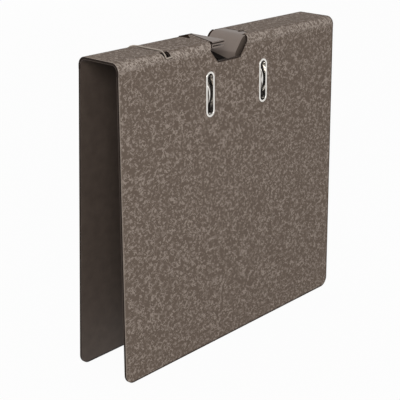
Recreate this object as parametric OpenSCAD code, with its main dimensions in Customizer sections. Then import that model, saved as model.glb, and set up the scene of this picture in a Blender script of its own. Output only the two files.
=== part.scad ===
/* [File body] */
// Length of the spine and covers
spine_length = 320; // [290:1:350]
// Height from the covers' bottom edges to the top of the spine
file_height = 305; // [270:1:340]
// Width of the spine over its two folds
spine_width = 50; // [48:1:54]
// Outer radius of the rounded folds
fold_radius = 8; // [7:0.5:9]
// Angle by which each cover hangs outward, in degrees
splay = 1.3; // [0.5:0.1:2]
// Radius of the covers' bottom corners
corner_radius = 10; // [4:1:20]

/* [Board] */
// Thickness of the pasteboard core
board_t = 1.9; // [1.4:0.1:2.2]
// Thickness of the marbled paper on the outside
paper_t = 0.3; // [0.2:0.05:0.4]
// Thickness of the plain paper on the inside
liner_t = 0.3; // [0.2:0.05:0.4]

/* [Rail cut-out] */
// Left end of the cut-out on the flat of the spine
cutout_flat_left = 34.5; // [32:0.5:36]
// Left end of the cut-out at the folds
cutout_left = 39.5; // [37:0.5:42]
// Depth of the cut-out's left corner below the top of the spine
cutout_left_drop = 7; // [5:0.5:8]
// Left end of the cut-out at its bottom edge
cutout_bottom_left = 29; // [26:0.5:31]
// Right end of the cut-out at its bottom edge
cutout_bottom_right = 5.7; // [4:0.1:8]
// Right end of the cut-out at the folds
cutout_right = 20; // [18:0.5:24]
// Right end of the cut-out on the flat of the spine
cutout_flat_right = 30; // [28:0.5:32]
// Width of the cut-out at its right end on the flat
cutout_flat_w = 25.5; // [20:0.5:30]
// Depth of the cut-out below the top of the spine
cutout_depth = 18.5; // [15:0.5:20]
// Depth at which the cut-out's right side starts to slant
cutout_shoulder = 3; // [2:0.5:5]

/* [Hanger] */
// Thickness of the hanger's steel sheet
hanger_t = 1.2; // [0.8:0.1:1.5]
// Gap between the leaves of the hanging lip
lip_gap = 1.35; // [1:0.05:1.5]
// How far the lip stands out past the cut-out's left end
lip_reach = 21.5; // [18:0.5:24]
// Length of the lip's flange under the spine
lip_flange = 47; // [30:1:52]
// Length of the tongue's flange under the spine
tongue_flange = 46; // [30:1:60]
// Radius of the tongue's bend
tongue_radius = 12; // [10:0.5:14]
// Depth of the tongue's lower bend below the top of the spine
tongue_depth = 14.5; // [13:0.1:15]
// Radius of the tongue's lower bend
skirt_radius = 4; // [3:0.5:5]
// Depth of the tongue's skirt and side walls below the top of the spine, at the front
skirt_depth = 24; // [22:0.5:24.5]
// Slant of the skirt's lower edge, which rises to the back, in degrees
skirt_tilt = 12; // [10:0.5:14]
// Gap between the hanger's wide ends and the covers
hanger_side_gap = 1.5; // [0.5:0.1:3]

/* [Label slit] */
// Distance of the slit from the middle of the spine
slit_x = 96.5; // [92:0.5:120]
// Width of the slit
slit_w = 2.5; // [1.5:0.1:3.5]
// Width of the slit's mouth on the folds
slit_mouth = 9; // [6:0.5:12]
// Slant of the mouth's left side
mouth_slant = 1.8; // [0:0.1:3]
// Depth of the slit's mouth below the top of the spine
slit_depth = 6; // [4:0.5:6.5]

/* [Slots] */
// Spacing of the two arches, which is that of the paper's holes
arch_spacing = 80; // [80:1:80]
// Depth of the slots' middle below the top of the spine
slot_drop = 48.5; // [46:0.5:54]
// Clear length of a slot
slot_length = 40; // [38:0.5:44]
// Clear width of a slot
slot_w = 8; // [7:0.5:10]
// Width of the rolled rim round a slot
rim_w = 2.1; // [2:0.1:3.5]
// Thickness of the rolled rim
rim_t = 0.9; // [0.6:0.1:1.2]
// Wall of the eyelet's barrel
barrel_t = 0.6; // [0.4:0.1:0.8]
// Thickness of the eyelet's clenched edge on the inside
clench_t = 0.5; // [0.3:0.1:0.6]

/* [Arches] */
// Diameter of the arch wire
wire_d = 3.6; // [3:0.1:4]
// How far the crown stands out of the front cover
crown_proud = 0.2; // [0:0.1:0.6]
// Least height of the axle above the back cover
axle_min = 4.3; // [4:0.1:5]
// Bend radius where an arch turns into the axle
wire_bend = 4.5; // [4:0.1:6]
// Radius of an arch's turned tip
tip_r = 1.4; // [1:0.1:1.6]
// Length of an arch's turned tip
tip_length = 4; // [3:0.5:6]
// Offset of the axle's crank
crank_throw = 9; // [8.5:0.1:10]
// Half the spacing of the crank's arms
crank_x = 7; // [6.5:0.1:7]
// Bend radius of the crank's corners
crank_bend = 3.6; // [3.4:0.1:3.7]

/* [Mechanism] */
// Thickness of the base plate
base_t = 0.8; // [0.6:0.1:1]
// Half the length of the base plate's lower bar
base_x = 56; // [50:1:64]
// Half the length of the base plate's upper part
base_top_x = 34; // [31:1:35]
// Height of the base plate above the axle
base_up = 14; // [12:0.5:16]
// Depth of the base plate below the axle
base_down = 28; // [26:0.5:34]
// Radius of the base plate's corners
plate_corner = 4; // [2:0.5:6]
// Depth of the lower bar's upper edge below the axle
base_shelf = 9; // [8:0.5:11]
// Radius of a post
post_r = 2.2; // [2:0.1:2.6]
// Radius of the stub that holds a post in the base plate
stub_r = 1.7; // [1.4:0.1:1.9]
// Radius of a post's collar
collar_r = 4; // [3.5:0.1:5]
// Thickness of a post's collar
collar_t = 1; // [0.8:0.1:1.4]
// Radius of the rivets that hold the mechanism
rivet_r = 2; // [1.5:0.1:2.2]
// Radius of the rivets' heads on the back cover
rivet_head_r = 4.5; // [3.8:0.1:5.5]
// Height of the rivets' heads
rivet_head_t = 1; // [0.7:0.1:1.4]
// Width of the rivets' clenched ends on the base plate
clench_rim = 1.2; // [0.8:0.1:1.4]
// Height of the rivets' clenched ends
clench_h = 0.8; // [0.5:0.1:1]
// Distance of the axle's bearings from the middle
bearing_x = 26; // [25:0.5:28]
// Width of a bearing
bearing_w = 5; // [4:0.5:6]
// Wall of a bearing round the axle
bearing_wall = 1.4; // [1:0.1:1.6]
// Half the length of a bearing's foot
foot_s = 7; // [6:0.5:8]
// Distance of the rivets from the middle
rivet_x = 18.5; // [18:0.1:19]

/* [Lever] */
// Thickness of the lever's and the bracket's sheet
lever_t = 1; // [0.8:0.1:1.2]
// Width of the lever
lever_w = 21; // [20.8:0.1:22]
// Length of the lever from its pin
lever_length = 28.5; // [25:0.5:29]
// Angle by which the closed lever leans to the back cover, in degrees
lever_lean = 21; // [15:1:24]
// Height of the lever's pin above the back cover
pivot_d = 19.5; // [19:0.1:20.5]
// Distance of the lever's pin below the axle
pivot_drop = 2.5; // [2:0.1:3]
// Radius of the lever's pin
pivot_r = 1.5; // [1.2:0.1:1.8]
// Radius of the roller
roller_r = 3; // [2.6:0.1:3.2]
// Radius of the roller's pin
roller_pin_r = 1; // [0.8:0.1:1.2]

// Width of the bracket's sheet round the lever's pin
bracket_rim = 2.5; // [2:0.1:3]
// Width of the lever's sheet round its pin
lever_rim = 2; // [1.5:0.1:2.2]
// Width of the lever's sheet round the roller's pin
roller_rim = 1.2; // [1:0.1:1.4]
// Height of the lever's face over the round of its walls
face_step = 0.5; // [0.3:0.1:1]
// Height of the bracket above the axle
bracket_top = 9; // [8.5:0.5:10]
// Width of the heads on the lever's pin
pin_rim = 1; // [0.6:0.1:1.4]
// Thickness of the heads on the lever's pin
pin_head_t = 0.8; // [0.5:0.1:1.2]
// Radius of the rivets that hold the bracket
bracket_rivet_r = 1.5; // [1:0.1:1.8]
// Width of the heads of the bracket's rivets
bracket_head_rim = 0.9; // [0.5:0.1:1.2]
// Height of the heads of the bracket's rivets
bracket_head_t = 0.7; // [0.5:0.1:1]

/* [Compressor bar] */
// Half the length of the compressor bar
bar_x = 58; // [52:1:66]
// Width of the compressor bar
bar_w = 13; // [12:0.5:14]
// Thickness of the compressor bar
bar_t = 1.2; // [0.8:0.1:1.6]
// Height of the bar's turned-up edges
bar_edge = 2; // [1.5:0.1:2.5]
// Length of a catch
catch_x = 16; // [12:0.5:20]
// Height of a catch's finger tab
tab_h = 5; // [3:0.5:8]

/* [Clearances] */
// Gap between a fold's edge and the cover under it
fold_gap = 0.3; // [0.2:0.05:0.5]
// Radial clearance of a turning shaft
running_gap = 0.08; // [0.04:0.01:0.1]
// Radial clearance of a fixed rivet, pin or eyelet
fixed_gap = 0.05; // [0.02:0.01:0.1]
// Gap between pieces that move past each other
moving_gap = 0.3; // [0.2:0.05:0.4]
// Gap between the lever's swing and the tongue's skirt
sweep_gap = 1.5; // [1:0.1:2]

/* [Hidden] */
$fn = 72;
wall = board_t + paper_t + liner_t;
hinge_drop = fold_radius + fold_gap + wall / 2;
hinge_y = spine_width / 2 - wall / 2;
hinge_z = file_height - hinge_drop;
cover_h = (hinge_z - wall / 2 * sin(splay)) / cos(splay);
flat_y = spine_width / 2 - fold_radius;
arch_x = arch_spacing / 2;
past = 1;

// The tongue's flank and the arches' legs run on a 3-4-5 slope
slope_cos = 0.6;
slope_sin = 0.8;
slope = atan2(slope_sin, slope_cos);

// Hanger, measured down from the top of the spine
flange_bottom = wall + hanger_t;
lip_start = -cutout_flat_left + fold_gap;
lip_end = -cutout_flat_left + lip_reach;
lip_r = hanger_t + lip_gap / 2;
leaf_pitch = hanger_t + lip_gap;
tongue_start = cutout_flat_right - fold_gap;
flank_out = [-slope_sin, slope_cos];
flank = (tongue_depth - tongue_radius * (1 - slope_cos)) / slope_sin;
skirt_x = cutout_right - tongue_radius * slope_sin - flank * slope_cos - skirt_radius * (1 - slope_sin);
skirt_z = tongue_depth + skirt_radius * slope_cos;
hanger_narrow_y = flat_y - fold_gap;
tongue_flange_y = cutout_flat_w / 2 - fold_gap;
hanger_wide_y = spine_width / 2 - wall - hanger_side_gap;
tongue_wide_x = cutout_right - cutout_shoulder;

// Slots, seen from the front cover's fold and from the back cover's fold
slot_z = hinge_drop - slot_drop;
slot_half = (slot_length - slot_w) / 2;
slot_dy = -2 * hinge_y + slot_z * sin(splay);
slot_dz = slot_z * cos(splay);
slot_in_back_y = slot_dy * cos(splay) + slot_dz * sin(splay);
slot_in_back_z = -slot_dy * sin(splay) + slot_dz * cos(splay);

// Arches, measured from the back cover's inner face and the axle's height
// The wire is bent to tenths of a millimetre
wire_r = wire_d / 2;
crown_top = -slot_in_back_y + crown_proud - wire_r;
crown_r = floor(10 * (crown_top - axle_min) / (1 + 1 / slope_sin)) / 10;
crown_d = crown_top - crown_r;
axle_to_crown = crown_r / slope_sin;
axle_d = crown_d - axle_to_crown;
leg_length = axle_to_crown * slope_cos;
tip_seat = wire_r / 2;
post_h = crown_d - tip_length - moving_gap;

// Lever and bracket, from the same two points
bracket_in = lever_w / 2 + moving_gap;
bracket_out = bracket_in + lever_t;
bracket_boss = pivot_r + bracket_rim;
pin_head_r = pivot_r + pin_rim;
lever_boss = pivot_r + lever_rim;
lever_face = lever_boss + face_step;
lever_sweep = norm([lever_length, lever_face]) + sweep_gap;
roller_boss = roller_pin_r + roller_rim;
roller_d = axle_d + crank_throw - pivot_d;
roller_s = wire_r + moving_gap + roller_r + pivot_drop;
roller_y = roller_d * cos(lever_lean) + roller_s * sin(lever_lean);
roller_z = -roller_d * sin(lever_lean) + roller_s * cos(lever_lean);

// Bearings, rivets and the bar
clench_r = rivet_r + clench_rim;
bracket_rivet_s = [6.5, -4.5];
rivet_s = [8, -20];
shelf_s = -base_shelf;
bar_d = base_t + collar_t + moving_gap;

// A drawn (x, z) outline as a sheet from y to y + t
module along_y(y, t) {
  translate([0, y + t, 0]) rotate([90, 0, 0]) linear_extrude(t) children();
}

// A drawn (y, z) profile as a bar centred on x = 0
module along_x(length) {
  rotate([90, 0, 90]) linear_extrude(length, center = true) children();
}

// One cover's own frame: the fold's axis is its x axis, and its outside faces -y
module cover_frame(side) {
  translate([0, side * hinge_y, hinge_z]) rotate([side * splay, 0, 0]) {
    if (side > 0) mirror([0, 1, 0]) children();
    else children();
  }
}

// The mechanism's frame on the back cover: y runs inward from its lining, z up from the axle
module mechanism_frame() {
  translate([0, hinge_y, hinge_z]) rotate([splay, 0, 0])
    translate([0, -wall / 2, slot_in_back_z]) rotate([0, 0, 180]) children();
}

module lever_frame() {
  mechanism_frame() translate([0, pivot_d, -pivot_drop]) rotate([lever_lean, 0, 0]) children();
}

// Half hexagon that lets the rail through, down from the top of the spine
module cutout_outline() {
  slant = (cutout_right - cutout_bottom_right) / (cutout_depth - cutout_shoulder + past);
  polygon([
    [-cutout_flat_left, past], [-cutout_flat_left, 0], [-cutout_left, -cutout_left_drop],
    [-cutout_bottom_left, -cutout_depth], [cutout_bottom_right, -cutout_depth],
    [cutout_right - slant * past, -cutout_shoulder + past], [cutout_right, past]
  ]);
}

// Outline of the folded spine, set in by a thickness
module spine_outline(inset, drop) {
  r = fold_radius - inset;
  for (side = [-1, 1]) translate([side * flat_y, file_height - fold_radius]) circle(r);
  translate([-flat_y, file_height - fold_radius - drop]) square([2 * flat_y, fold_radius - inset + drop]);
  translate([-flat_y - r, file_height - fold_radius - drop]) square([2 * (flat_y + r), drop]);
}

module spine_openings() {
  translate([0, 0, file_height]) {
    along_y(-spine_width, 2 * spine_width) cutout_outline();
    translate([0, 0, -fold_radius]) linear_extrude(fold_radius + past) polygon([
      [0, -flat_y], [cutout_right, -flat_y], [cutout_flat_right, -cutout_flat_w / 2],
      [cutout_flat_right, cutout_flat_w / 2], [cutout_right, flat_y], [0, flat_y]
    ]);
    translate([-slit_x - slit_w / 2, -flat_y - 2 * past, -fold_radius])
      cube([slit_w, 2 * (flat_y + 2 * past), fold_radius + past]);
    for (y = [-spine_width / 2 - past, flat_y + past]) along_y(y, fold_radius) polygon([
      [-slit_x - slit_mouth / 2 - mouth_slant, past], [-slit_x - (slit_mouth - mouth_slant) / 2, -slit_depth],
      [-slit_x + slit_mouth / 2, -slit_depth], [-slit_x + slit_mouth / 2, past]
    ]);
  }
}

// One layer of the folded spine, between two depths from its outside
module spine_layer(from, to) {
  difference() {
    along_x(spine_length) difference() {
      intersection() {
        spine_outline(from, past);
        translate([-spine_width, file_height - fold_radius]) square([2 * spine_width, 2 * fold_radius]);
      }
      spine_outline(to, 2 * past);
    }
    spine_openings();
  }
}

module spine_paper() {
  color("#6b6159") spine_layer(0, paper_t);
}

module spine_board() {
  color("#4a423b") spine_layer(paper_t, paper_t + board_t);
}

module spine_liner() {
  color("#3c352f") spine_layer(paper_t + board_t, wall);
}

// Half of a hem that turns one leaf of the lip into the next
module hem(x, z, side) {
  translate([x, z]) intersection() {
    difference() {
      circle(lip_r);
      circle(lip_r - hanger_t);
    }
    translate([min(side, 0) * 2 * lip_r, -2 * lip_r]) square([2 * lip_r, 4 * lip_r]);
  }
}

// Side view of the lip: flange under the spine, step up to its top, and three leaves folded over each other
module lip_profile() {
  right_x = lip_end - lip_r;
  left_x = lip_start + hanger_t + moving_gap + lip_r;
  translate([lip_start - lip_flange, -flange_bottom]) square([lip_flange + hanger_t, hanger_t]);
  translate([lip_start, -flange_bottom]) square([hanger_t, flange_bottom]);
  translate([lip_start, -hanger_t]) square([right_x - lip_start, hanger_t]);
  hem(right_x, -lip_r, 1);
  for (leaf = [1, 2]) translate([left_x, -leaf * leaf_pitch - hanger_t]) square([right_x - left_x, hanger_t]);
  hem(left_x, -lip_r - leaf_pitch, -1);
}

module hanger_lip() {
  color("#766c63") translate([0, 0, file_height]) {
    along_y(-hanger_narrow_y, 2 * hanger_narrow_y) lip_profile();
    along_y(-hanger_wide_y, 2 * hanger_wide_y) intersection() {
      lip_profile();
      translate([lip_start + hanger_t, -fold_radius]) square([2 * lip_reach, fold_radius]);
    }
  }
}

// Bend of the tongue's sheet, between two directions from its centre
module tongue_bend(r, from, to) {
  intersection() {
    difference() {
      circle(r);
      circle(r - hanger_t);
    }
    polygon([[0, 0], 2 * r * from, 2 * r * (from + to), 2 * r * to]);
  }
}

// Side view of the tongue's sheet: flange under the spine, step up to its top, sloping flank and skirt
module tongue_profile() {
  translate([tongue_start - hanger_t, -flange_bottom]) square([hanger_t + tongue_flange, hanger_t]);
  translate([tongue_start - hanger_t, -flange_bottom]) square([hanger_t, flange_bottom]);
  translate([cutout_right, -hanger_t]) square([tongue_start - cutout_right, hanger_t]);
  translate([cutout_right, -tongue_radius]) {
    tongue_bend(tongue_radius, [0, 1], flank_out);
    rotate(slope) translate([-flank, tongue_radius - hanger_t]) square([flank, hanger_t]);
  }
  translate([skirt_x + skirt_radius, -skirt_z]) tongue_bend(skirt_radius, flank_out, [-1, 0]);
  translate([skirt_x, -skirt_depth]) square([hanger_t, skirt_depth - skirt_z]);
}

// Side view of the tongue's side walls, which end in the middle of its sheet
module tongue_side() {
  intersection() {
    union() {
      translate([cutout_right, -tongue_radius]) circle(tongue_radius - hanger_t / 2);
      polygon([
        [cutout_right, -tongue_radius] + (tongue_radius - hanger_t / 2) * flank_out,
        [skirt_x + skirt_radius, -skirt_z] + (skirt_radius - hanger_t / 2) * flank_out,
        [skirt_x + hanger_t / 2, -skirt_z], [skirt_x + hanger_t / 2, -skirt_depth],
        [cutout_right, -skirt_depth], [cutout_right, -tongue_radius]
      ]);
    }
    translate([0, -skirt_depth]) square([tongue_wide_x, skirt_depth]);
  }
}

// The skirt's lower edge slants up over the lever's swing
module guide_tongue() {
  far = cutout_flat_right + 2 * tongue_flange;
  color("#766c63") difference() {
    translate([0, 0, file_height]) {
      intersection() {
        along_y(-hanger_narrow_y, 2 * hanger_narrow_y) tongue_profile();
        translate([0, 0, -2 * skirt_depth]) linear_extrude(2 * skirt_depth + past) polygon([
          [-far, -hanger_narrow_y], [cutout_right, -hanger_narrow_y], [cutout_flat_right, -tongue_flange_y],
          [far, -tongue_flange_y], [far, tongue_flange_y], [cutout_flat_right, tongue_flange_y],
          [cutout_right, hanger_narrow_y], [-far, hanger_narrow_y]
        ]);
      }
      along_y(-hanger_wide_y, 2 * hanger_wide_y) intersection() {
        tongue_profile();
        translate([-spine_width, -2 * skirt_depth])
          square([spine_width + tongue_wide_x, 2 * skirt_depth + past]);
      }
      for (y = [-hanger_wide_y, hanger_wide_y - hanger_t]) along_y(y, hanger_t) tongue_side();
    }
    mechanism_frame() translate([0, pivot_d, -pivot_drop]) rotate([-skirt_tilt, 0, 0])
      translate([-spine_width, -spine_width, -spine_width])
        cube([2 * spine_width, 2 * spine_width, spine_width + lever_sweep]);
  }
}

// Face of a cover with its round lower corners and the rail cut-out
module cover_outline() {
  half = spine_length / 2;
  difference() {
    union() {
      translate([-half, corner_radius - cover_h]) square([spine_length, cover_h - corner_radius + wall]);
      translate([corner_radius - half, -cover_h])
        square([spine_length - 2 * corner_radius, 2 * corner_radius]);
      for (side = [-1, 1])
        translate([side * (half - corner_radius), corner_radius - cover_h]) circle(corner_radius);
    }
    translate([0, hinge_drop]) cutout_outline();
  }
}

// One layer of a cover: inside and outside are measured from the core's middle, at its rolled top
module cover_layer(inside, outside) {
  middle = (paper_t - liner_t) / 2;
  intersection() {
    along_y(-spine_width, 2 * spine_width) cover_outline();
    along_x(spine_length) translate([middle, 0]) {
      translate([inside, -cover_h]) square([outside - inside, cover_h]);
      difference() {
        intersection() {
          circle(max(-inside, outside));
          translate([min(inside, 0), 0]) square([max(outside, 0) - min(inside, 0), wall]);
        }
        if (inside * outside > 0) circle(board_t / 2);
      }
    }
  }
}

module slot_holes(r) {
  for (side = [-1, 1]) translate([side * arch_x, wall, slot_z]) rotate([90, 0, 0]) {
    for (end = [-1, 1]) translate([0, end * slot_half, 0]) cylinder(r = r, h = 2 * wall);
    translate([-r, -slot_half, 0]) cube([2 * r, 2 * slot_half, 2 * wall]);
  }
}

module front_layer(inside, outside) {
  cover_frame(-1) difference() {
    cover_layer(inside, outside);
    slot_holes(slot_w / 2 + barrel_t + fixed_gap);
  }
}

module front_paper() {
  color("#6b6159") front_layer(-board_t / 2 - paper_t, -board_t / 2);
}

module front_board() {
  color("#4a423b") front_layer(-board_t / 2, board_t / 2);
}

module front_liner() {
  color("#3c352f") front_layer(board_t / 2, board_t / 2 + liner_t);
}

// Cut through an eyelet's wall: barrel, rolled rim outside and clenched edge inside
module eyelet_profile() {
  in_r = slot_w / 2;
  roll = rim_t / 2;
  translate([in_r, -wall / 2 - clench_t]) square([barrel_t, wall + clench_t + roll]);
  translate([in_r, -wall / 2 - clench_t]) square([rim_w - 2 * roll, clench_t]);
  translate([in_r + roll, wall / 2]) square([rim_w - 2 * roll, rim_t]);
  for (r = [in_r + roll, in_r + rim_w - roll]) translate([r, wall / 2 + roll]) circle(roll);
}

module eyelet(side) {
  color("#d8d6d2") cover_frame(-1) translate([side * arch_x, 0, slot_z]) rotate([90, 0, 0])
    for (turn = [0, 180]) rotate([0, 0, turn]) {
      translate([0, slot_half, 0]) rotate_extrude(angle = 180) eyelet_profile();
      rotate([90, 0, 0]) linear_extrude(2 * slot_half, center = true) eyelet_profile();
    }
}

module eyelet_left() {
  eyelet(-1);
}

module eyelet_right() {
  eyelet(1);
}

// Every place of a rivet that goes through the back cover
module at_rivets() {
  for (side = [-1, 1], s = rivet_s) translate([side * rivet_x, 0, s]) rotate([-90, 0, 0]) children();
}

module back_layer(inside, outside) {
  difference() {
    cover_frame(1) cover_layer(inside, outside);
    mechanism_frame() at_rivets() translate([0, 0, -2 * wall])
      cylinder(r = rivet_r + fixed_gap, h = 3 * wall);
  }
}

module back_paper() {
  color("#6b6159") back_layer(-board_t / 2 - paper_t, -board_t / 2);
}

module back_board() {
  color("#4a423b") back_layer(-board_t / 2, board_t / 2);
}

module back_liner() {
  color("#3c352f") back_layer(board_t / 2, board_t / 2 + liner_t);
}

// A rectangle with round corners, by its limits
module rounded_plate(x, low, high, r) {
  translate([-x, low + r]) square([2 * x, high - low - 2 * r]);
  translate([r - x, low]) square([2 * (x - r), high - low]);
  for (side = [-1, 1], z = [low + r, high - r]) translate([side * (x - r), z]) circle(r);
}

// Both posts' places on the base plate
module at_post(side) {
  translate([-side * arch_x, 0, -crown_r]) rotate([-90, 0, 0]) children();
}

module base_plate() {
  color("#b9b7b2") mechanism_frame() difference() {
    along_y(0, base_t) {
      rounded_plate(base_x, -base_down, shelf_s, plate_corner);
      rounded_plate(base_top_x, -base_down + plate_corner, base_up, plate_corner);
    }
    at_rivets() translate([0, 0, -past]) cylinder(r = rivet_r + fixed_gap, h = base_t + 2 * past);
    for (side = [-1, 1]) at_post(side)
      translate([0, 0, -past]) cylinder(r = stub_r + fixed_gap, h = base_t + 2 * past);
    for (s = bracket_rivet_s) translate([0, -past, s]) rotate([-90, 0, 0])
      cylinder(r = bracket_rivet_r + fixed_gap, h = base_t + 2 * past);
  }
}

// Rivets: round head on the back cover, shank, and a clenched end on the base plate
module mechanism_rivets() {
  color("#c9c6c0") mechanism_frame() at_rivets() rotate_extrude() {
    translate([0, -wall]) square([rivet_r, wall + base_t]);
    translate([0, base_t]) square([clench_r, clench_h]);
    intersection() {
      translate([0, -wall - rivet_head_t]) square([rivet_head_r, rivet_head_t]);
      dome_r = (pow(rivet_head_r, 2) + pow(rivet_head_t, 2)) / (2 * rivet_head_t);
      translate([0, -wall - rivet_head_t + dome_r]) circle(dome_r);
    }
  }
}

// A post is turned in one piece with its collar and riveted stub
module post(side) {
  chamfer = post_r / 4;
  color("#d5d3ce") mechanism_frame() at_post(side) rotate_extrude() polygon([
    [0, 0], [stub_r, 0], [stub_r, base_t], [collar_r, base_t],
    [collar_r, base_t + collar_t], [post_r, base_t + collar_t],
    [post_r, post_h - chamfer], [post_r - chamfer, post_h], [0, post_h]
  ]);
}

module post_left() {
  post(-1);
}

module post_right() {
  post(1);
}

// Two pressed saddles that carry the axle
module axle_bearings() {
  outer = wire_r + running_gap + bearing_wall;
  color("#b9b7b2") mechanism_frame() for (side = [-1, 1]) translate([side * bearing_x, 0, 0])
    along_x(bearing_w) difference() {
      union() {
        translate([axle_d, 0]) circle(outer);
        translate([base_t, -outer]) square([axle_d - base_t, 2 * outer]);
        translate([base_t, -foot_s]) square([lever_t, 2 * foot_s]);
      }
      translate([axle_d, 0]) circle(wire_r + running_gap);
    }
}

// Bracket bent from one sheet: a web on the base plate and two cheeks
module lever_bracket() {
  low = -pivot_drop - bracket_boss;
  color("#b9b7b2") mechanism_frame() difference() {
    union() {
      translate([-bracket_out, base_t, low]) cube([2 * bracket_out, lever_t, bracket_top - low]);
      for (side = [-1, 1]) translate([side * (bracket_in + lever_t / 2), 0, 0]) along_x(lever_t) {
        translate([pivot_d, -pivot_drop]) circle(bracket_boss);
        polygon([
          [base_t, low], [pivot_d, low],
          [pivot_d + bracket_boss * slope_sin, bracket_boss * slope_cos - pivot_drop],
          [pivot_d / 2, bracket_top], [base_t, bracket_top]
        ]);
      }
    }
    translate([0, axle_d, 0]) rotate([0, 90, 0])
      cylinder(r = wire_r + running_gap, h = 3 * bracket_out, center = true);
    translate([0, pivot_d, -pivot_drop]) rotate([0, 90, 0])
      cylinder(r = pivot_r + fixed_gap, h = 3 * bracket_out, center = true);
    for (s = bracket_rivet_s) translate([0, 0, s]) rotate([-90, 0, 0])
      cylinder(r = bracket_rivet_r + fixed_gap, h = base_t + 2 * lever_t);
  }
}

module bracket_rivets() {
  color("#c9c6c0") mechanism_frame() for (s = bracket_rivet_s) translate([0, 0, s]) rotate([-90, 0, 0]) {
    cylinder(r = bracket_rivet_r, h = base_t + lever_t);
    translate([0, 0, base_t + lever_t])
      cylinder(r1 = bracket_rivet_r + bracket_head_rim, r2 = bracket_rivet_r, h = bracket_head_t);
  }
}

module lever_pin() {
  color("#d5d3ce") mechanism_frame() translate([0, pivot_d, -pivot_drop]) rotate([0, 90, 0]) {
    cylinder(r = pivot_r, h = 2 * bracket_out, center = true);
    for (side = [-1, 1]) translate([0, 0, side * (bracket_out + pin_head_t / 2)])
      cylinder(r = pin_head_r, h = pin_head_t, center = true);
  }
}

// A quarter bend of the wire: from angle start, round the given centre
module wire_bend_at(x, y, start, radius) {
  translate([x, y, 0]) rotate([0, 0, start]) rotate_extrude(angle = 90) translate([radius, 0]) circle(wire_r);
}

// One half of the arch wire, from the middle of the crown's height: crown, leg, axle and crank arm
module arch_half() {
  far = 2 * axle_to_crown;
  axle_from = crank_x + crank_bend;
  translate([arch_x, 0, 0]) {
    translate([0, -axle_to_crown, 0]) rotate([slope, 0, 0]) difference() {
      union() {
        wire_bend_at(-wire_bend, wire_bend, 270, wire_bend);
        translate([0, wire_bend, 0]) rotate([-90, 0, 0]) cylinder(r = wire_r, h = leg_length - wire_bend);
        translate([0, leg_length, -crown_r]) rotate([90, 0, 90]) difference() {
          rotate_extrude() translate([crown_r, 0]) circle(wire_r);
          translate([-far, 0, -wire_d]) cube([far, far, 2 * wire_d]);
        }
      }
      translate([0, leg_length, -crown_r]) rotate([90, 0, 90]) translate([0, 0, -wire_d])
        linear_extrude(2 * wire_d) polygon([[0, 0], [-far, 0], [-far, -far], far * [-slope_sin, -slope_cos]]);
    }
    translate([0, tip_seat, -crown_r]) rotate([90, 0, 0]) cylinder(r = tip_r, h = tip_seat + tip_length);
  }
  translate([0, -axle_to_crown, 0]) {
    translate([axle_from, 0, 0]) rotate([0, 90, 0]) cylinder(r = wire_r, h = arch_x - wire_bend - axle_from);
    wire_bend_at(axle_from, crank_bend, 180, crank_bend);
    translate([crank_x, crank_bend, 0]) rotate([-90, 0, 0])
      cylinder(r = wire_r, h = crank_throw - 2 * crank_bend);
    wire_bend_at(crank_x - crank_bend, crank_throw - crank_bend, 0, crank_bend);
  }
}

module arch_wire() {
  color("#e2e0dc") mechanism_frame() translate([0, crown_d, 0]) {
    arch_half();
    mirror([1, 0, 0]) arch_half();
    translate([0, crank_throw - axle_to_crown, 0]) rotate([0, 90, 0])
      cylinder(r = wire_r, h = 2 * (crank_x - crank_bend), center = true);
  }
}

// Lever pressed from sheet: a face plate with a round end, and two side walls
module lever() {
  half = lever_w / 2;
  color("#c4c1bb") lever_frame() difference() {
    union() {
      along_y(lever_face - lever_t, lever_t) {
        translate([-half, lever_boss]) square([lever_w, lever_length - lever_boss - half]);
        translate([0, lever_length - half]) circle(half);
      }
      for (side = [-1, 1]) translate([side * (half - lever_t / 2), 0, 0]) along_x(lever_t) {
        circle(lever_boss);
        translate([roller_y, roller_z]) circle(roller_boss);
        polygon([
          [-lever_boss, 0], [lever_boss, 0], [lever_face, lever_boss],
          [lever_face, lever_length - half], [lever_face - 2 * lever_t, lever_length - half],
          [roller_y + roller_boss * slope_sin, roller_z + roller_boss * slope_cos],
          [roller_y - roller_boss, roller_z]
        ]);
      }
    }
    rotate([0, 90, 0]) cylinder(r = pivot_r + running_gap, h = 2 * lever_w, center = true);
    translate([0, roller_y, roller_z]) rotate([0, 90, 0])
      cylinder(r = roller_pin_r + fixed_gap, h = 2 * lever_w, center = true);
  }
}

module roller_pin() {
  color("#d5d3ce") lever_frame() translate([0, roller_y, roller_z]) rotate([0, 90, 0])
    cylinder(r = roller_pin_r, h = lever_w, center = true);
}

module roller() {
  length = lever_w - 2 * lever_t - 2 * moving_gap;
  color("#2f2d2b") lever_frame() translate([0, roller_y, roller_z]) rotate([0, 90, 0]) difference() {
    cylinder(r = roller_r, h = length, center = true);
    cylinder(r = roller_pin_r + running_gap, h = 2 * length, center = true);
  }
}

// Bar that holds the sheets down: round ends and turned-up long edges
module compressor_bar() {
  half = bar_w / 2;
  color("#b9b7b2") mechanism_frame() translate([0, 0, -crown_r]) difference() {
    union() {
      along_y(bar_d, bar_t) rounded_plate(bar_x, -half, half, half - lever_t);
      for (z = [-half, half - lever_t]) translate([half - bar_x, bar_d, z])
        cube([2 * (bar_x - half), bar_t + bar_edge, lever_t]);
    }
    for (side = [-1, 1]) translate([side * arch_x, bar_d - past, 0]) rotate([-90, 0, 0])
      cylinder(r = post_r + moving_gap, h = bar_t + 2 * past);
  }
}

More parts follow.
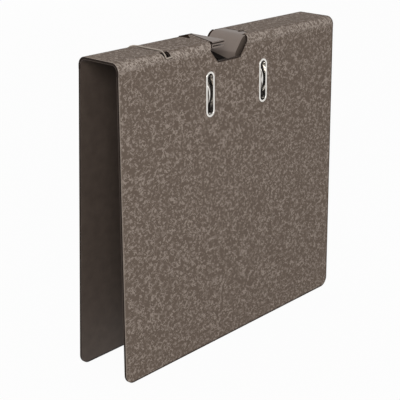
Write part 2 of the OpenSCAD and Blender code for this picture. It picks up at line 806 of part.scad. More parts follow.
// Two sliding catches that grip the posts, each with a finger tab
module compressor_catches() {
  half = bar_w / 2 - lever_t - moving_gap;
  color("#c4c1bb") mechanism_frame() translate([0, bar_d + bar_t, -crown_r]) for (side = [-1, 1])
    difference() {
      translate([side * arch_x, 0, 0]) {
        translate([-catch_x / 2, 0, -half]) cube([catch_x, lever_t, 2 * half]);
        translate([side * (catch_x - lever_t) / 2 - lever_t / 2, 0, -half]) cube([lever_t, tab_h, 2 * half]);
      }
      translate([side * arch_x, -past, 0]) rotate([-90, 0, 0])
        cylinder(r = post_r + running_gap, h = lever_t + 2 * past);
    }
}

spine_board();
spine_paper();
spine_liner();
hanger_lip();
guide_tongue();
front_board();
front_paper();
front_liner();
eyelet_left();
eyelet_right();
back_board();
back_paper();
back_liner();
base_plate();
mechanism_rivets();
post_left();
post_right();
axle_bearings();
lever_bracket();
bracket_rivets();
lever_pin();
arch_wire();
lever();
roller_pin();
roller();
compressor_bar();
compressor_catches();
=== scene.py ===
import math
import bpy
from mathutils import Matrix, Vector


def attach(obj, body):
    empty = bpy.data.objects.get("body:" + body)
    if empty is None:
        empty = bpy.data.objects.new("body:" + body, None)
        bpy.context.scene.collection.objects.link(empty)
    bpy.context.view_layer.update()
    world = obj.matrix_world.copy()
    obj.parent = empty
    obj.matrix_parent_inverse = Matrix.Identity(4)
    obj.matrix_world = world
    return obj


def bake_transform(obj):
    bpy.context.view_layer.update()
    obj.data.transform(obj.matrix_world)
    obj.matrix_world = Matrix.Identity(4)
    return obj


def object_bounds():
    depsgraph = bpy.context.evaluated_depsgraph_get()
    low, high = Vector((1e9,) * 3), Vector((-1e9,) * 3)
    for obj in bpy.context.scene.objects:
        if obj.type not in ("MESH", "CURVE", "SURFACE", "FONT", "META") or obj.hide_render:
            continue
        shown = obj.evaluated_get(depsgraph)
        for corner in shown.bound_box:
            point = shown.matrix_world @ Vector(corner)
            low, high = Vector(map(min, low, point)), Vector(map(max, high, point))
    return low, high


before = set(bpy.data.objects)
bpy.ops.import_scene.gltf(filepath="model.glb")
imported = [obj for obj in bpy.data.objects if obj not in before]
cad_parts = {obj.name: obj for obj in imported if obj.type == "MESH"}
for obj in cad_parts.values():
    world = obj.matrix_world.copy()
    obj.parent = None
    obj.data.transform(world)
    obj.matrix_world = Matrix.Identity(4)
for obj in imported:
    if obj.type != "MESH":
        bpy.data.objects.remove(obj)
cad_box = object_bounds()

# Cover paper of the spine and both covers: one sheet of cloud-marbled paper, glued over the board.
# The combed colours are matt and barely raised: pale worms on a darker ground, with calm patches between.
# Painted highlight pales it on the front fold's bend and along the left end. It is darker along its bottom,
# and painted shade darkens its right end, back fold and the cut-out's lower edge.
MM = 0.001
# The sockets of a mix node's two colours.
MIX_A, MIX_B = 6, 7


def linear(code):
    """An sRGB hex colour as linear RGBA."""
    parts = [int(code[i:i + 2], 16) / 255 for i in (1, 3, 5)]
    return [c / 12.92 if c <= 0.04045 else ((c + 0.055) / 1.055) ** 2.4 for c in parts] + [1.0]


def put(owner, kind, inputs=None, **settings):
    """Adds a node with its settings. An input takes a value, a socket, or a node's first output in use."""
    new = owner.node_tree.nodes.new("ShaderNode" + kind)
    for name, value in settings.items():
        setattr(new, name, value)
    for name, source in (inputs or {}).items():
        if isinstance(source, bpy.types.Node):
            source = next(output for output in source.outputs if output.enabled)
        if isinstance(source, bpy.types.NodeSocket):
            owner.node_tree.links.new(source, new.inputs[name])
        else:
            new.inputs[name].default_value = source
    return new


def blank(name):
    """A new node material with nothing in it yet."""
    material = bpy.data.materials.new(name)
    material.use_nodes = True
    material.node_tree.nodes.clear()
    return material


def dress(material, *nodes):
    """Gives CAD nodes one material."""
    for name in nodes:
        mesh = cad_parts[name].data
        mesh.materials.clear()
        mesh.materials.append(material)


low, high = cad_box
half_length = high[0]
stroke_across, stroke_along = 2.3, 6.8
stroke_lean = (56, -38)
line_middle, line_share = 0.5, 0.04
break_size = 3.5
patch_size = 7
# Width of the bands at both ends: painted highlight at the left end, painted shade at the right end.
end_band_width = 1.6
fold_bottom, fold_top = 295, 304.8
# Painted highlight on the front fold's bend: how far it rises and falls in height.
fold_highlight_rise, fold_highlight_fall = 4, 1.5
fold_highlight_on_strokes, fold_highlight_between = 0.48, 0.1
edge_band_height = 2
back_edge = 18.5
# Each side of the rail cut-out has its x at the top and its x at the bottom.
cut_top_z, cut_bottom_z = 298.0, 286.5
cut_left = (-39.5, -29.0)
cut_right = (15.67, 5.7)
cut_middle = (cut_left[1] + cut_right[1]) / 2
cut_reach = (cut_right[1] - cut_left[1]) / 2
# Width of the painted shade under the cut-out's lower edge.
cut_shade_width = 1.3
# The painted shadow across the tongue's seam is an ellipse seen from above, at any height.
mark_middle = Vector((28.4, -6.2, 0))
mark_reach = Vector((4.7, 2.3, 1000))


def bottom_darkening(owner, height):
    """How much the colour darkens along the edge on which the case stands, 0 above it."""
    return put(owner, "MapRange", {"Value": height, "From Min": low[2] + edge_band_height / 2 * MM,
                                   "From Max": low[2] + edge_band_height * MM, "To Min": 0.9, "To Max": 0.0})


def seam_shadow_mark(owner, point):
    """1 inside the painted shadow across the seam of paper and tongue, 0 elsewhere."""
    near = put(owner, "Mapping", {"Vector": point, "Location": mark_middle * MM, "Scale": mark_reach * MM},
               vector_type="TEXTURE")
    far = put(owner, "VectorMath", {0: near}, operation="LENGTH")
    return put(owner, "Math", {0: far, 1: 1.0}, operation="LESS_THAN")


paper = blank("cloud_marbled_paper")
place = put(paper, "TexCoord").outputs["Object"]
axes = put(paper, "SeparateXYZ", {"Vector": place}).outputs

# Marbling: worms run where a leaning, stretched noise is close to its middle value.
worms = []
for lean in stroke_lean:
    leant = put(paper, "Mapping", {
        "Vector": place,
        "Rotation": (0, math.radians(lean), math.radians(lean)),
        "Scale": (stroke_across * MM, stroke_along * MM, stroke_along * MM),
    }, vector_type="TEXTURE")
    field = put(paper, "TexNoise", {"Vector": leant, "Scale": 1.0, "Detail": 1.0, "Distortion": 0.5})
    worms.append(put(paper, "Math", {0: field, 1: line_middle, 2: line_share}, operation="COMPARE"))
tangle = put(paper, "Math", {0: worms[0], 1: worms[1]}, operation="MAXIMUM")
breaks = put(paper, "TexNoise", {"Vector": place, "Scale": 1 / (break_size * MM), "Detail": 1.0})
kept = put(paper, "MapRange", {"Value": breaks, "From Min": 0.42, "From Max": 0.52})
patches = put(paper, "TexNoise", {"Vector": place, "Scale": 1 / (patch_size * MM), "Detail": 2.0})
shown = put(paper, "MapRange", {"Value": patches, "From Min": 0.38, "From Max": 0.56, "To Min": 0.5})
stroke = tangle
for share in (kept, shown):
    stroke = put(paper, "Math", {0: stroke, 1: share}, operation="MULTIPLY")
ground = put(paper, "Mix", {"Factor": shown, MIX_A: linear("#6b5e54"), MIX_B: linear("#675a50")},
             data_type="RGBA")
drawn = put(paper, "Mix", {"Factor": stroke, MIX_A: ground, MIX_B: linear("#96897f")}, data_type="RGBA")

# Painted highlight: paler along the left end, and on the front fold's bend, most of it on the raised
# strokes.
# Painted highlight: the paper is paler along the left end, which faces the lamp.
left_end_highlight = put(paper, "MapRange", {"Value": axes["X"], "From Min": end_band_width * MM - half_length,
                              "From Max": -half_length, "To Max": 0.8})
left_end_lit = put(paper, "Mix", {"Factor": left_end_highlight, MIX_A: drawn, MIX_B: linear("#968a80")}, data_type="RGBA")
on_top = put(paper, "MapRange", {"Value": axes["Z"], "From Min": fold_bottom * MM,
                                 "From Max": (fold_bottom + fold_highlight_rise) * MM})
on_bend = put(paper, "MapRange", {"Value": axes["Z"], "From Min": (fold_top - fold_highlight_fall) * MM,
                                  "From Max": fold_top * MM, "To Min": 1.0, "To Max": 0.0})
in_front = put(paper, "Math", {0: axes["Y"], 1: 0.0}, operation="LESS_THAN")
fold_highlight_by_stroke = put(paper, "Math", {0: tangle, 1: fold_highlight_on_strokes, 2: fold_highlight_between}, operation="MULTIPLY_ADD")
fold_highlight = on_top
for share in (on_bend, in_front, fold_highlight_by_stroke):
    fold_highlight = put(paper, "Math", {0: fold_highlight, 1: share}, operation="MULTIPLY")
# Painted highlight: the front fold's bend is lightened, most of it on the raised strokes.
fold_highlighted = put(paper, "Mix", {"Factor": fold_highlight, MIX_A: left_end_lit, MIX_B: linear("#b3a79d")}, data_type="RGBA")

# Darkening: along the lowest edge, and painted shade at the right end, along the back fold, under the
# cut-out's lower edge and in the mark across the tongue's seam.
# Painted shade: darker along the right end, where the paper rounds away from the lamp.
right_end_shade = put(paper, "MapRange", {"Value": axes["X"], "From Min": half_length - end_band_width * MM,
                                   "From Max": half_length - end_band_width / 2 * MM, "To Max": 0.7})
# Painted shade: a dark band along the back fold's edge on top.
back_shade_band = put(paper, "MapRange", {"Value": axes["Y"], "From Min": (back_edge - edge_band_height) * MM,
                                    "From Max": back_edge * MM, "To Max": 0.6})
back_fold_shade = put(paper, "Math", {0: back_shade_band, 1: on_top}, operation="MULTIPLY")
# Painted shade: a dark line on the paper just under the cut-out's lower edge, where a shadow gap lies.
under_cut = put(paper, "Math", {0: axes["Z"], 1: (cut_bottom_z - cut_shade_width / 2) * MM, 2: cut_shade_width / 2 * MM},
                operation="COMPARE")
along_cut = put(paper, "Math", {0: axes["X"], 1: cut_middle * MM, 2: cut_reach * MM}, operation="COMPARE")
cut_edge_shade = put(paper, "Math", {0: under_cut, 1: along_cut}, operation="MULTIPLY")
darkening = bottom_darkening(paper, axes["Z"])
for more in (right_end_shade, back_fold_shade, cut_edge_shade, seam_shadow_mark(paper, place)):
    darkening = put(paper, "Math", {0: darkening, 1: more}, operation="MAXIMUM")
darkened = put(paper, "Mix", {"Factor": darkening, MIX_A: fold_highlighted, MIX_B: linear("#2c221d")}, data_type="RGBA")
raised = put(paper, "Bump", {"Height": stroke, "Strength": 0.25, "Distance": 0.1 * MM})
skin = put(paper, "BsdfPrincipled", {"Base Color": darkened, "Normal": raised, "Roughness": 0.8,
                                     "Specular IOR Level": 0.15})
put(paper, "OutputMaterial", {"Surface": skin})
dress(paper, "spine_paper", "front_paper", "back_paper")

# Core of the spine and covers: solid pasteboard, several dark plies pressed together.
# Its raw edge shows the plies as fine streaks along the sheet, nearly black from the knife.
ply = 0.45
fibre = 5

core = {}
for name, across in (("cover_pasteboard", "Y"), ("spine_pasteboard", "Z")):
    board = core[name] = blank(name)
    place = put(board, "TexCoord").outputs["Object"]
    grain = [1 / ((ply if axis == across else fibre) * MM) for axis in "XYZ"]
    plies = put(board, "Mapping", {"Vector": place, "Scale": grain})
    streaks = put(board, "TexNoise", {"Vector": plies, "Scale": 1.0, "Detail": 3.0})
    tone = put(board, "MapRange", {"Value": streaks, "From Min": 0.35, "From Max": 0.65})
    colour = put(board, "Mix", {"Factor": tone, MIX_A: linear("#150e0a"), MIX_B: linear("#2b211b")},
                 data_type="RGBA")
    rough = put(board, "Bump", {"Height": streaks, "Strength": 0.4, "Distance": 0.08 * MM})
    skin = put(board, "BsdfPrincipled", {"Base Color": colour, "Normal": rough, "Roughness": 0.9,
                                         "Specular IOR Level": 0.2})
    put(board, "OutputMaterial", {"Surface": skin})
dress(core["cover_pasteboard"], "front_board", "back_board")
dress(core["spine_pasteboard"], "spine_board")

# Lining of the inside: one plain sheet of very dark brown paper, calendered nearly smooth and glued in.
# Its long fibres give a faint cloud and a slight sheen at a low angle.
fibre_cloud = 9
fibre_grain = 0.7

lining = blank("dark_lining_paper")
place = put(lining, "TexCoord").outputs["Object"]
axes = put(lining, "SeparateXYZ", {"Vector": place}).outputs
cloud = put(lining, "TexNoise", {"Vector": place, "Scale": 1 / (fibre_cloud * MM), "Detail": 4.0})
grain = put(lining, "TexNoise", {"Vector": place, "Scale": 1 / (fibre_grain * MM), "Detail": 2.0})
tone = put(lining, "MapRange", {"Value": cloud, "From Min": 0.3, "From Max": 0.7})
colour = put(lining, "Mix", {"Factor": tone, MIX_A: linear("#483d36"), MIX_B: linear("#51463e")},
             data_type="RGBA")
# Darker along the bottom edge.
darkening = bottom_darkening(lining, axes["Z"])
darkened = put(lining, "Mix", {"Factor": darkening, MIX_A: colour, MIX_B: linear("#150e0a")}, data_type="RGBA")
tooth = put(lining, "Bump", {"Height": grain, "Strength": 0.15, "Distance": 0.05 * MM})
skin = put(lining, "BsdfPrincipled", {"Base Color": darkened, "Normal": tooth, "Roughness": 0.6,
                                      "Specular IOR Level": 0.35})
put(lining, "OutputMaterial", {"Surface": skin})
dress(lining, "spine_liner", "front_liner", "back_liner")

# Folds of the case: paper, board and lining run on from the spine into each cover in one piece.
# The board is creased along both folds, so that it bends there when a cover is swung open.
# The rail cut-out parts each fold into a left and a right run, which end in its slanting edges.
fold_axis_y = 23.75
fold_axis_z = 295.45
fold_reach = 2.4
fold_steps = 8
wall = 2.5
cover_splay = math.radians(1.3)
overlap = 0.05
# A face is the sheet's outside or inside where at least this share of its normal points off the cover.
broadside = 0.7
outside, inside, edge = range(3)


def start_sheet(name, length, width, middle):
    """A level sheet with its size and middle in mm, left in edit mode with all of it selected."""
    bpy.ops.object.select_all(action="DESELECT")
    bpy.ops.mesh.primitive_plane_add(size=MM)
    bpy.context.object.name = name
    bpy.ops.object.mode_set(mode="EDIT")
    bpy.ops.transform.resize(value=(length, width, 1))
    bpy.ops.transform.translate(value=[step * MM for step in middle])
    return bpy.context.object


def trim_sheet(*cuts):
    """Cuts the sheet off along planes, each a point in mm and an outward normal, and leaves edit mode."""
    for point, normal in cuts:
        bpy.ops.mesh.select_all(action="SELECT")
        bpy.ops.mesh.bisect(plane_co=point * MM, plane_no=normal, use_fill=True, clear_outer=True)
    bpy.ops.mesh.select_all(action="SELECT")
    bpy.ops.mesh.normals_make_consistent(inside=False)
    bpy.ops.object.mode_set(mode="OBJECT")


for cover, side in (("front_cover", -1), ("back_cover", 1)):
    for run, end, (cut_top_x, cut_bottom_x) in (("left", -1, cut_left), ("right", 1, cut_right)):
        length = half_length / MM + overlap
        fold = start_sheet(f"{cover}_fold_{run}", length, wall + 2 * overlap,
                           (end * length / 2, side * fold_axis_y, fold_axis_z + fold_reach))
        step = 2 * fold_reach / fold_steps
        for i in range(fold_steps):
            out = step * math.tan(cover_splay) if i >= fold_steps / 2 else 0
            down = (0, side * out * MM, -step * MM)
            bpy.ops.mesh.extrude_region_move(TRANSFORM_OT_translate={"value": down})
        cut_normal = Vector((cut_top_z - cut_bottom_z, 0, cut_bottom_x - cut_top_x)).normalized() * -end
        trim_sheet((Vector((cut_top_x, 0, cut_top_z)) + cut_normal * overlap, cut_normal))
        for material in (paper, lining, core["cover_pasteboard"]):
            fold.data.materials.append(material)
        for face in fold.data.polygons:
            facing = face.normal.y * side
            face.material_index = outside if facing > broadside else inside if facing < -broadside else edge
        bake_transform(fold)

# Hanger: lip and tongue of bent steel sheet, stove-enamelled matt grey-brown, its orange-peel skin smeared.
# Painted shade darkens its seams at the paper, its back rim, and the lip's back corner, which the paper
# leaves bare.
# The tongue's side walls take a darker brown copy of the enamel, as painted shade.
peel = 1.1
smear = 14
tongue_seam = 29.2
# Widths of the painted shade along the seams and along the back rim.
seam_shade_width, rim_shade_width = 1.0, 2.0
lip_left, lip_half_width = -34.5, 20.5
tab_front, tab_back = Vector((-34.3, -20.5, 0)), Vector((-19.4, 19.0, 0))
bare_front, bare_back = Vector((-34.5, 4.5, 0)), Vector((-20.8, 20.2, 0))
upward = Vector((0, 0, 1))
tab_normal = (tab_back - tab_front).cross(upward).normalized()
bare_normal = upward.cross(bare_back - bare_front).normalized()
wall_facing = 0.9

enamel = blank("grey_brown_enamel")
place = put(enamel, "TexCoord").outputs["Object"]
axes = put(enamel, "SeparateXYZ", {"Vector": place}).outputs
skin_cells = put(enamel, "TexNoise", {"Vector": place, "Scale": 1 / (peel * MM), "Detail": 1.0})
smears = put(enamel, "TexNoise", {"Vector": place, "Scale": 1 / (smear * MM), "Detail": 3.0})
colour = put(enamel, "Mix", {"Factor": smears, MIX_A: linear("#756961"), MIX_B: linear("#7f736b")},
             data_type="RGBA")
# Painted shade: dark lines along the tongue's seam and along the tab's cut edge.
tongue_seam_shade = put(enamel, "Math", {0: axes["X"], 1: tongue_seam * MM, 2: seam_shade_width * MM}, operation="COMPARE")
past_tab = put(enamel, "VectorMath", {0: place, 1: tab_normal}, operation="DOT_PRODUCT")
tab_seam_shade = put(enamel, "Math", {0: past_tab, 1: (tab_front.dot(tab_normal) + seam_shade_width) * MM,
                              2: seam_shade_width * MM}, operation="COMPARE")
# Painted shade: the lip's back corner, which the paper tab leaves bare, is darkened.
behind = put(enamel, "VectorMath", {0: place, 1: bare_normal}, operation="DOT_PRODUCT")
bare = put(enamel, "Math", {0: behind, 1: bare_front.dot(bare_normal) * MM}, operation="GREATER_THAN")
on_lip = put(enamel, "Math", {0: axes["X"], 1: lip_left * MM}, operation="GREATER_THAN")
corner = put(enamel, "Math", {0: bare, 1: on_lip}, operation="MULTIPLY")
# Painted shade: a dark band along the tongue's back rim.
back_rim_shade = put(enamel, "Math", {0: axes["Y"], 1: (lip_half_width - rim_shade_width) * MM}, operation="GREATER_THAN")
# All painted shade on the enamel, the seam's painted shadow included.
painted_shade = tongue_seam_shade
for more in (seam_shadow_mark(enamel, place), tab_seam_shade, corner, back_rim_shade):
    painted_shade = put(enamel, "Math", {0: painted_shade, 1: more}, operation="MAXIMUM")
shaded_enamel = put(enamel, "Mix", {"Factor": painted_shade, MIX_A: colour, MIX_B: linear("#2f251f")}, data_type="RGBA")
gloss = put(enamel, "MapRange", {"Value": smears, "To Min": 0.42, "To Max": 0.6})
# The enamel also loses its specular sheen under the painted shade.
shine = put(enamel, "MapRange", {"Value": painted_shade, "To Min": 0.4, "To Max": 0.0})
peeled = put(enamel, "Bump", {"Height": skin_cells, "Strength": 0.1, "Distance": 0.03 * MM})
skin = put(enamel, "BsdfPrincipled", {"Base Color": shaded_enamel, "Normal": peeled, "Roughness": gloss,
                                      "Specular IOR Level": shine})
put(enamel, "OutputMaterial", {"Surface": skin})
dress(enamel, "hanger_lip", "guide_tongue")

# Painted shade: a darker brown copy of the enamel for the tongue's side walls.
wall_shade = blank("side_wall_painted_shade")
place = put(wall_shade, "TexCoord").outputs["Object"]
brushed = put(wall_shade, "TexNoise", {"Vector": place, "Scale": 1 / (peel * MM), "Detail": 2.0})
colour = put(wall_shade, "Mix", {"Factor": brushed, MIX_A: linear("#4a4039"), MIX_B: linear("#544a42")},
             data_type="RGBA")
coat = put(wall_shade, "Bump", {"Height": brushed, "Strength": 0.15, "Distance": 0.05 * MM})
skin = put(wall_shade, "BsdfPrincipled", {"Base Color": colour, "Normal": coat, "Roughness": 0.75,
                                      "Specular IOR Level": 0.25})
put(wall_shade, "OutputMaterial", {"Surface": skin})
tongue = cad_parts["guide_tongue"].data
tongue.materials.append(wall_shade)
wall_shade_index = tongue.materials.find(wall_shade.name)
# The faces that look along y, the side walls, get the painted shade.
for face in tongue.polygons:
    if abs(face.normal.y) > wall_facing:
        face.material_index = wall_shade_index

# Tab of the cover paper: it runs on from the spine over the lip's top and is pasted down there.
# It ends in a slanting cut from the lip's front left to its back right, and leaves the lip's back corner
# bare, with painted shade on it.
tab_right = -19.0
tab_lap, tab_thickness = 0.05, 0.25
spine_top = high[2] / MM

tab = start_sheet("paper_tab", tab_right - lip_left, 2 * lip_half_width,
                  ((lip_left + tab_right) / 2, 0, spine_top - tab_lap))
bpy.ops.mesh.extrude_region_move(TRANSFORM_OT_translate={"value": (0, 0, tab_thickness * MM)})
trim_sheet((tab_front, tab_normal), (bare_front, bare_normal))
tab.data.materials.append(paper)
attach(tab, "spine")

# Edging of the label slit: a thin enamelled bead let in along its right side, painted paler as a highlight.
# At each fold it turns aside into the slit's mouth. It stands a little proud at the back, and lines the
# mouth in front. Its route is a list of x, y and the drop below the spine's top.
bead_radius = 0.75
bead_sides = 10
bead_smoothing = math.radians(40)
pale_streak_length = 4
bead_run = ((-100.2, 23.4, 2.6), (-99.0, 21.3, 0.5), (-97.2, 18.5, -0.35), (-95.3, 15.0, -0.3),
            (-94.7, 11.0, -0.1), (-94.7, -11.5, -0.1), (-96.0, -15.5, -0.1), (-97.6, -19.0, 0.4),
            (-98.7, -22.3, 2.0), (-99.2, -24.3, 4.2), (-99.2, -24.8, 4.9))
bead_sill = ((-99.6, -24.8, 4.9), (-98.5, -24.9, 5.0), (-93.2, -24.9, 4.5), (-91.6, -24.9, 3.8))

bpy.ops.object.select_all(action="DESELECT")
for run, axis in ((bead_run, "X"), (bead_sill, "Y")):
    bpy.ops.mesh.primitive_circle_add(vertices=bead_sides, radius=bead_radius * MM, fill_type="NGON")
    bpy.ops.object.mode_set(mode="EDIT")
    bpy.ops.transform.rotate(value=math.pi / 2, orient_axis=axis, center_override=(0, 0, 0))
    stops = [Vector((x, y, spine_top - drop)) * MM for x, y, drop in run]
    bpy.ops.transform.translate(value=stops[0])
    for here, there in zip(stops, stops[1:]):
        bpy.ops.mesh.extrude_region_move(TRANSFORM_OT_translate={"value": there - here})
    bpy.ops.mesh.select_all(action="DESELECT")
bpy.ops.mesh.select_all(action="SELECT")
bpy.ops.mesh.normals_make_consistent(inside=False)
bpy.ops.object.mode_set(mode="OBJECT")
bpy.ops.object.shade_smooth_by_angle(angle=bead_smoothing)
edging = bpy.context.object
edging.name = "slit_edging"

# Painted highlight: the bead's enamel is a paler copy of the hanger's, with streaks of two pale tones.
pale_highlight_enamel = blank("pale_highlight_enamel")
place = put(pale_highlight_enamel, "TexCoord").outputs["Object"]
pale_streaks = put(pale_highlight_enamel, "TexNoise", {"Vector": place, "Scale": 1 / (pale_streak_length * MM), "Detail": 3.0})
colour = put(pale_highlight_enamel, "Mix", {"Factor": pale_streaks, MIX_A: linear("#94887c"), MIX_B: linear("#b0a498")},
             data_type="RGBA")
scratched = put(pale_highlight_enamel, "Bump", {"Height": pale_streaks, "Strength": 0.1, "Distance": 0.03 * MM})
skin = put(pale_highlight_enamel, "BsdfPrincipled", {"Base Color": colour, "Normal": scratched, "Roughness": 0.45,
                                             "Specular IOR Level": 0.4})
put(pale_highlight_enamel, "OutputMaterial", {"Surface": skin})
edging.data.materials.append(pale_highlight_enamel)
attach(edging, "spine")

# Bright parts: slot eyelets drawn from nickel-plated brass, and the posts, pins and rivets.
# Nickel is a warm white mirror with faint drawing lines and a little haze from handling.
haze = 6
draw_line = 0.5

nickel = blank("bright_nickel_plate")
place = put(nickel, "TexCoord").outputs["Object"]
hazed = put(nickel, "TexNoise", {"Vector": place, "Scale": 1 / (haze * MM), "Detail": 3.0})
lines = put(nickel, "TexNoise", {"Vector": place, "Scale": 1 / (draw_line * MM), "Detail": 1.0})
colour = put(nickel, "Mix", {"Factor": hazed, MIX_A: linear("#d8d4ce"), MIX_B: linear("#eae7e2")},
             data_type="RGBA")
gloss = put(nickel, "MapRange", {"Value": hazed, "To Min": 0.12, "To Max": 0.28})
drawn = put(nickel, "Bump", {"Height": lines, "Strength": 0.05, "Distance": 0.02 * MM})
skin = put(nickel, "BsdfPrincipled", {"Base Color": colour, "Normal": drawn, "Roughness": gloss,
                                      "Metallic": 1.0})
put(nickel, "OutputMaterial", {"Surface": skin})
dress(nickel, "eyelet_left", "eyelet_right", "post_left", "post_right", "lever_pin", "roller_pin",
      "mechanism_rivets", "bracket_rivets")

# Arch wire: hard-drawn spring steel, bent cold to the two arches, the axle and the crank.
# It is left bare and oiled, so it is greyer than the plated pieces. Near-white streaks in its colour stand
# for the lines from the drawing die, and they are painted highlights as well.
# The real lines are finer than a tenth of a millimetre. They are drawn coarser here, so that they show.
die_line = 1.1
die_length = 14
tarnish = 5

wire = blank("drawn_spring_steel")
place = put(wire, "TexCoord").outputs["Object"]
dulled = put(wire, "TexNoise", {"Vector": place, "Scale": 1 / (tarnish * MM), "Detail": 3.0})
pulled = put(wire, "Mapping", {
    "Vector": place,
    "Scale": (1 / (die_line * MM), 1 / (die_length * MM), 1 / (die_length * MM)),
})
lines = put(wire, "TexNoise", {"Vector": pulled, "Scale": 1.0, "Detail": 1.0})
# Painted highlights: the die lines are near-white streaks in the wire's colour.
die_line_highlights = put(wire, "MapRange", {"Value": lines, "From Min": 0.48, "From Max": 0.58})
colour = put(wire, "Mix", {"Factor": die_line_highlights, MIX_A: linear("#6f6a65"), MIX_B: linear("#f0ede8")},
             data_type="RGBA")
gloss = put(wire, "MapRange", {"Value": dulled, "To Min": 0.08, "To Max": 0.18})
drawn = put(wire, "Bump", {"Height": lines, "Strength": 0.08, "Distance": 0.02 * MM})
skin = put(wire, "BsdfPrincipled", {"Base Color": colour, "Normal": drawn, "Roughness": gloss,
                                    "Metallic": 1.0})
put(wire, "OutputMaterial", {"Surface": skin})
dress(wire, "arch_wire")

# Pressed parts of the mechanism: base plate, bearings, bracket, lever, compressor bar and its catches.
# They are zinc-plated sheet steel: grey, satin, with rolling lines and a soft crystalline mottle.
rolling = 0.6
rolling_length = 30
mottle = 8
mottle_share, mottle_base = 0.35, 0.2

zinc = blank("zinc_plated_steel")
place = put(zinc, "TexCoord").outputs["Object"]
rolled = put(zinc, "Mapping", {
    "Vector": place,
    "Scale": (1 / (rolling_length * MM), 1 / (rolling * MM), 1 / (rolling * MM)),
})
lines = put(zinc, "TexNoise", {"Vector": rolled, "Scale": 1.0, "Detail": 2.0})
crystals = put(zinc, "TexVoronoi", {"Vector": place, "Scale": 1 / (mottle * MM)})
shade = put(zinc, "SeparateColor", {"Color": crystals.outputs["Color"]}).outputs["Red"]
mottled = put(zinc, "Math", {0: shade, 1: mottle_share, 2: mottle_base}, operation="MULTIPLY_ADD")
streaked = put(zinc, "Math", {0: mottled, 1: lines}, operation="ADD")
colour = put(zinc, "Mix", {"Factor": streaked, MIX_A: linear("#a19f9b"), MIX_B: linear("#c6c4c0")},
             data_type="RGBA")
gloss = put(zinc, "MapRange", {"Value": lines, "To Min": 0.28, "To Max": 0.46})
brushed = put(zinc, "Bump", {"Height": lines, "Strength": 0.12, "Distance": 0.03 * MM})
skin = put(zinc, "BsdfPrincipled", {"Base Color": colour, "Normal": brushed, "Roughness": gloss,
                                    "Metallic": 1.0})
put(zinc, "OutputMaterial", {"Surface": skin})
dress(zinc, "base_plate", "axle_bearings", "lever_bracket", "lever", "compressor_bar", "compressor_catches")

# Roller on the lever: black nylon, turned on a lathe and running on its steel pin, satin with turning rings.
# The rings are drawn about six times as coarse as the tool's feed, so that they show.
tool_feed = 0.5
# A wave texture runs through 20 radians in each unit of its scale.
wave_rate = 20

nylon = blank("black_nylon")
place = put(nylon, "TexCoord").outputs["Object"]
turned = put(nylon, "TexWave", {"Vector": place, "Scale": 1 / (wave_rate * tool_feed * MM),
                                "Distortion": 0.3}, bands_direction="X").outputs["Fac"]
colour = put(nylon, "Mix", {"Factor": turned, MIX_A: linear("#1c1a18"), MIX_B: linear("#262320")},
             data_type="RGBA")
rings = put(nylon, "Bump", {"Height": turned, "Strength": 0.2, "Distance": 0.03 * MM})
skin = put(nylon, "BsdfPrincipled", {"Base Color": colour, "Normal": rings, "Roughness": 0.5})
put(nylon, "OutputMaterial", {"Surface": skin})
dress(nylon, "roller")

# Studio: a plain white floor and soft light from all round, with a broad lamp at the upper left front.
# A weaker lamp opposite lights the back cover.
# The floor is level with the covers' bottom edges and takes the file's shadow. Sizes here are in metres.
floor_size = 8.0
floor_level = low[2]
floor_glow = 0.96
sky_light = 0.5


def seen_directly(owner):
    """1 on rays that show the background itself, to the camera or in a mirror, 0 on those that light it."""
    ray = put(owner, "LightPath").outputs
    seen = ray["Is Camera Ray"]
    for kind in ("Is Glossy Ray", "Is Transmission Ray"):
        seen = put(owner, "Math", {0: seen, 1: ray[kind]}, operation="MAXIMUM")
    return seen


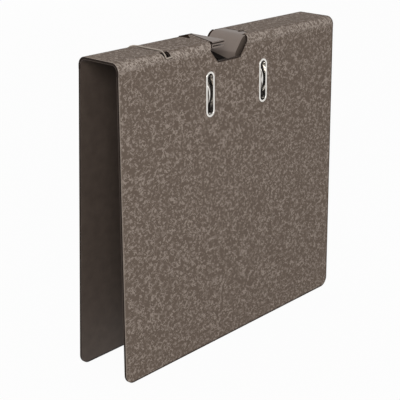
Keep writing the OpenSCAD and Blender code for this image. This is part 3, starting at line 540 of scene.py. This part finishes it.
bpy.ops.object.select_all(action="DESELECT")
bpy.ops.mesh.primitive_plane_add(size=floor_size, location=(0, 0, floor_level))
floor = bpy.context.object
floor.name = "studio_floor"
floor_paint = blank("white_floor")
skin = put(floor_paint, "BsdfPrincipled", {"Base Color": linear("#d2d2d1"), "Roughness": 0.9,
                                           "Specular IOR Level": 0.1})
glow = put(floor_paint, "Emission", {"Color": linear("#ffffff"), "Strength": 1.0})
share = put(floor_paint, "Math", {0: seen_directly(floor_paint), 1: floor_glow}, operation="MULTIPLY")
lit = put(floor_paint, "MixShader", {0: share, 1: skin, 2: glow})
put(floor_paint, "OutputMaterial", {"Surface": lit})
floor.data.materials.append(floor_paint)

world = bpy.data.worlds.new("studio_surround")
bpy.context.scene.world = world
world.use_nodes = True
world.node_tree.nodes.clear()
level = put(world, "MapRange", {"Value": seen_directly(world), "To Min": sky_light, "To Max": 1.0})
sky = put(world, "Background", {"Color": linear("#ffffff"), "Strength": level})
put(world, "OutputWorld", {"Surface": sky})

lamp_size = 1.6
lamp_target = Vector((0, 0, 0.16))
for name, place, watts in (("front_lamp", (-1.9, -1.6, 1.5), 45), ("back_lamp", (1.1, 2.4, 0.4), 11)):
    lamp = bpy.data.objects.new(name, bpy.data.lights.new(name, "AREA"))
    bpy.context.scene.collection.objects.link(lamp)
    lamp.data.shape = "DISK"
    lamp.data.size = lamp_size
    lamp.data.energy = watts
    lamp.location = place
    lamp.rotation_euler = (lamp_target - lamp.location).to_track_quat("-Z", "Y").to_euler()

# Camera at the photograph's place: above the left front corner, looking a little down.
# The frame is 400 pixels wide, and the lens is centred above its middle.
camera_place = Vector((-826.45, -699.96, 517.24)) * MM
camera_turn = math.radians(-48.91)
camera_dip = math.radians(16.95)
camera_roll = math.radians(0.65)
frame_pixels = 400
focal_pixels = 1130.4
lens_centre_y = 150
sensor_width = 36

camera = bpy.data.objects.new("camera", bpy.data.cameras.new("camera"))
bpy.context.scene.collection.objects.link(camera)
camera.matrix_world = (Matrix.Translation(camera_place)
                       @ Matrix.Rotation(camera_turn, 4, "Z")
                       @ Matrix.Rotation(math.pi / 2 - camera_dip, 4, "X")
                       @ Matrix.Rotation(camera_roll, 4, "Z"))
camera.data.sensor_width = sensor_width
camera.data.lens = sensor_width * focal_pixels / frame_pixels
camera.data.shift_y = (lens_centre_y - frame_pixels / 2) / frame_pixels
bpy.context.scene.camera = camera
bpy.context.scene.view_settings.view_transform = "Standard"
